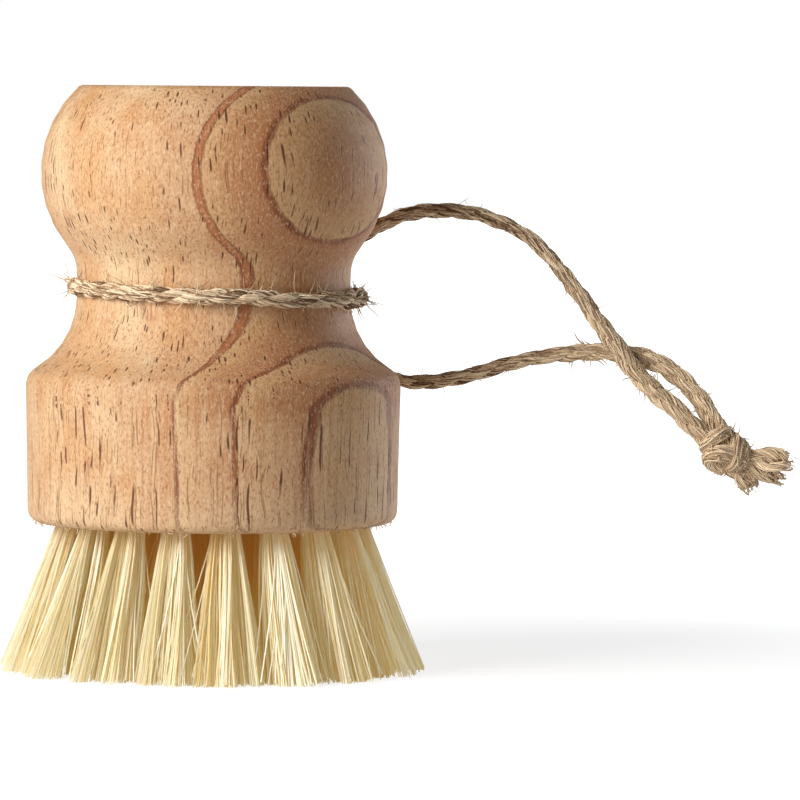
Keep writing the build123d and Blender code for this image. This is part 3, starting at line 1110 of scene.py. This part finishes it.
def add_underside(skin, rim):
    """Adds the flat underside between the foot's rim and the mouths of the holes."""
    mouths = add_holes(skin)
    numbers = list(rim)
    edges = [(side, (side + 1) % len(rim)) for side in range(len(rim))]
    for _, mouth in mouths:
        first = len(numbers)
        numbers.extend(mouth)
        edges.extend((first + side, first + (side + 1) % hole_sides) for side in range(hole_sides))
    flat = [Vector((skin.points[number].x, skin.points[number].y)) / mm for number in numbers]
    _, _, triangles, sources, _, _ = geometry.delaunay_2d_cdt(flat, edges, [], 1, 1e-4)
    first_face = len(skin.faces)
    for triangle in triangles:
        corners = [numbers[sources[corner][0]] for corner in triangle]
        middle = sum((skin.points[corner] for corner in corners), Vector()) / len(corners)
        if all((middle - centre).length > hole_radius for centre, _ in mouths):
            skin.faces.append(tuple(reversed(corners)))
    return first_face


def make_handle():
    """The turned handle, smooth where the CAD outline is cut in facets, with its drilled holes."""
    outline = smooth_outline(cad_outline())
    skin = Skin()
    rings = [skin.add_ring(turned_ring(point.x, point.y)) for point in outline]
    crown = outline[-1]
    rings += [skin.add_ring(turned_ring(crown.x * share, crown.y)) for share in top_ring_shares]
    for low, high in zip(rings, rings[1:]):
        skin.add_band(low, high)
    skin.faces.append(tuple(rings[-1]))
    first_flat = add_underside(skin, rings[0])
    handle = skin.make_piece("turned_handle", "brush", wood, "wood", "handle")
    for polygon in list(handle.data.polygons)[first_flat:]:
        polygon.use_smooth = False


def make_crumbs():
    """Raised wood fibres and crumbs along the block's lower edge, where the turning tool left it."""
    rng = random.Random(61)
    skin = Skin()
    for _ in range(crumb_count):
        azimuth = rng.uniform(0, full_turn)
        if noise.noise((4 * math.cos(azimuth), 4 * math.sin(azimuth), 2)) < rng.uniform(-0.6, 0.3):
            continue
        outward, sideways = axes_at(azimuth)
        spot = outward * (crumb_radius + rng.uniform(*crumb_scatter) * mm)
        spot.z = block_foot + rng.uniform(0.0, 0.12) * mm
        heading = sideways * rng.uniform(-1, 1) + outward * rng.uniform(-0.1, 0.5)
        heading = (heading + Vector((0, 0, rng.uniform(-0.9, 0.2)))).normalized()
        bend = Vector(rng.gauss(0, 0.5) for _ in range(3))
        path = curled(spot, heading, bend, crumb_length * rng.uniform(0.3, 1.0), crumb_steps)
        add_thread(skin, path, rng.uniform(*crumb_radii) * mm, crumb_sides)
    skin.make_piece("foot_crumbs", "brush", crumb, "wood")


make_handle()
make_crumbs()
anchor_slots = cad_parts["tuft_anchors"].data.materials
anchor_slots.clear()
anchor_slots.append(steel)


# Stage and light
def add_area(name, place, size, power, colour):
    """A soft rectangular lamp that looks at the object."""
    lamp = bpy.data.lights.new(name, "AREA")
    lamp.shape = "RECTANGLE"
    lamp.size, lamp.size_y = size
    lamp.energy = power
    lamp.color = colour
    holder = bpy.data.objects.new(name, lamp)
    scene.collection.objects.link(holder)
    holder.location = place
    holder.rotation_euler = (lamp_aim - Vector(place)).to_track_quat("-Z", "Y").to_euler()


def make_floor():
    """A pale floor that is white to the camera away from the object and keeps its soft shadow."""
    shade = Shade(new_material("floor"))
    place = shade.add("ShaderNodeTexCoord", {}, "Object")
    reach = shade.add("ShaderNodeVectorMath", {0: place}, "Value", operation="LENGTH")
    near = shade.fade(reach, 0.07, 0.20, 0.55, 1.0)
    rays = shade.add("ShaderNodeLightPath", {}).node.outputs
    seen = shade.largest(rays["Is Camera Ray"], rays["Is Glossy Ray"], rays["Is Transmission Ray"])
    glow = shade.add("ShaderNodeEmission", {"Color": white, "Strength": floor_glow})
    shade.join(shade.times(near, seen), glow)
    mesh = bpy.data.meshes.new("floor")
    corners = [(-1, -1), (1, -1), (1, 1), (-1, 1)]
    mesh.from_pydata([(x * floor_half, y * floor_half, 0) for x, y in corners], [], [(0, 1, 2, 3)])
    mesh.materials.append(shade.finish(Base_Color=(0.9, 0.9, 0.9, 1.0), Roughness=0.9))
    floor = bpy.data.objects.new("floor", mesh)
    scene.collection.objects.link(floor)


def make_world():
    """A white surround, plain to the camera and soft as a light."""
    scene.world = bpy.data.worlds.new("world")
    shade = Shade(scene.world, "Background")
    rays = shade.add("ShaderNodeLightPath", {}).node.outputs
    seen = shade.largest(rays["Is Camera Ray"], rays["Is Transmission Ray"])
    level = shade.add("ShaderNodeMapRange", {"Value": seen, "To Min": world_light, "To Max": 1.0})
    shade.finish(Color=white, Strength=level)


make_floor()
make_world()
add_area("key", (-0.42, -0.34, 0.30), size=(0.35, 0.35), power=4.15, colour=(1.0, 0.985, 0.96))
add_area("rim", (0.38, 0.32, 0.10), size=(0.15, 0.3), power=1.3, colour=(0.88, 0.94, 1.0))

scene.view_settings.view_transform = "Standard"
